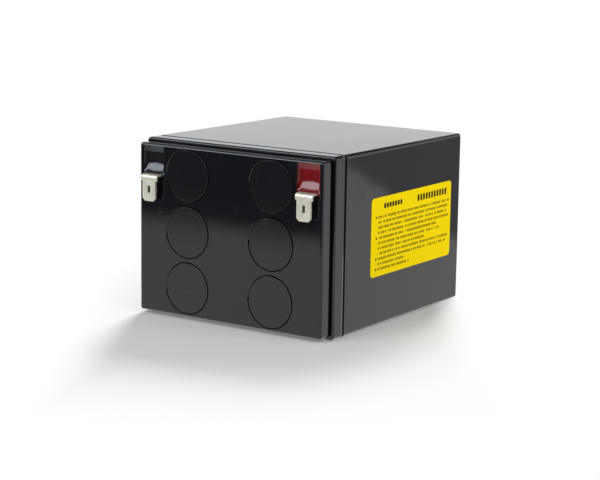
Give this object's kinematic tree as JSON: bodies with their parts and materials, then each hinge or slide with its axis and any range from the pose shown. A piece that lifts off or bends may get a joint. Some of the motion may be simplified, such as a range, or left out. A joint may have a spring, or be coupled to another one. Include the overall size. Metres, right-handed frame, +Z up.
{
  "type": "sealed lead acid battery",
  "caption": "Small sealed lead acid battery, black box case lying on its long side, round vent covers and push-on blade terminals on the lid.",
  "frame": {"origin": "on the floor, under the middle of the battery's box as it lies on its long side", "axes": "+Z up, +X along the lid's long side towards the positive terminal, +Y from the lid towards the base of the case"},
  "size_m": [0.09, 0.105, 0.0704],
  "materials": {
    "case_plastic": "smooth moulded ABS, glossy black",
    "lid_plastic": "smooth moulded ABS, glossy black",
    "sealant": "cast epoxy, black",
    "label_film": "yellow film with a satin face",
    "valve_rubber": "soft black rubber",
    "tinned_brass": "dull tin plate",
    "red_resin": "glossy cast epoxy, deep red",
    "black_resin": "glossy cast epoxy, black",
    "lead": "cast lead, dull grey",
    "lead_dioxide_plate": "pasted plate, dark brown",
    "spongy_lead_plate": "pasted plate, slate grey",
    "glass_mat": "wet glass fibre mat, white"
  },
  "bodies": {
    "root": {"container": "case_plastic", "lid": "lid_plastic", "vent_cover_1": "lid_plastic", "vent_cover_2": "lid_plastic", "vent_cover_3": "lid_plastic", "vent_cover_4": "lid_plastic", "vent_cover_5": "lid_plastic", "vent_cover_6": "lid_plastic", "sealing_bead": "sealant", "side_label": "label_film", "relief_valve_1": "valve_rubber", "relief_valve_2": "valve_rubber", "relief_valve_3": "valve_rubber", "relief_valve_4": "valve_rubber", "relief_valve_5": "valve_rubber", "relief_valve_6": "valve_rubber", "positive_sealing_ring": "valve_rubber", "negative_sealing_ring": "valve_rubber", "positive_tab": "tinned_brass", "negative_tab": "tinned_brass", "positive_resin": "red_resin", "negative_resin": "black_resin", "positive_post": "lead", "negative_post": "lead", "intercell_link_1": "lead", "intercell_link_2": "lead", "intercell_link_3": "lead", "intercell_link_4": "lead", "intercell_link_5": "lead", "positive_plates_1": "lead_dioxide_plate", "positive_plates_2": "lead_dioxide_plate", "positive_plates_3": "lead_dioxide_plate", "positive_plates_4": "lead_dioxide_plate", "positive_plates_5": "lead_dioxide_plate", "positive_plates_6": "lead_dioxide_plate", "negative_plates_1": "spongy_lead_plate", "negative_plates_2": "spongy_lead_plate", "negative_plates_3": "spongy_lead_plate", "negative_plates_4": "spongy_lead_plate", "negative_plates_5": "spongy_lead_plate", "negative_plates_6": "spongy_lead_plate", "separator_mat_1": "glass_mat", "separator_mat_2": "glass_mat", "separator_mat_3": "glass_mat", "separator_mat_4": "glass_mat", "separator_mat_5": "glass_mat", "separator_mat_6": "glass_mat"}
  },
  "joints": []
}
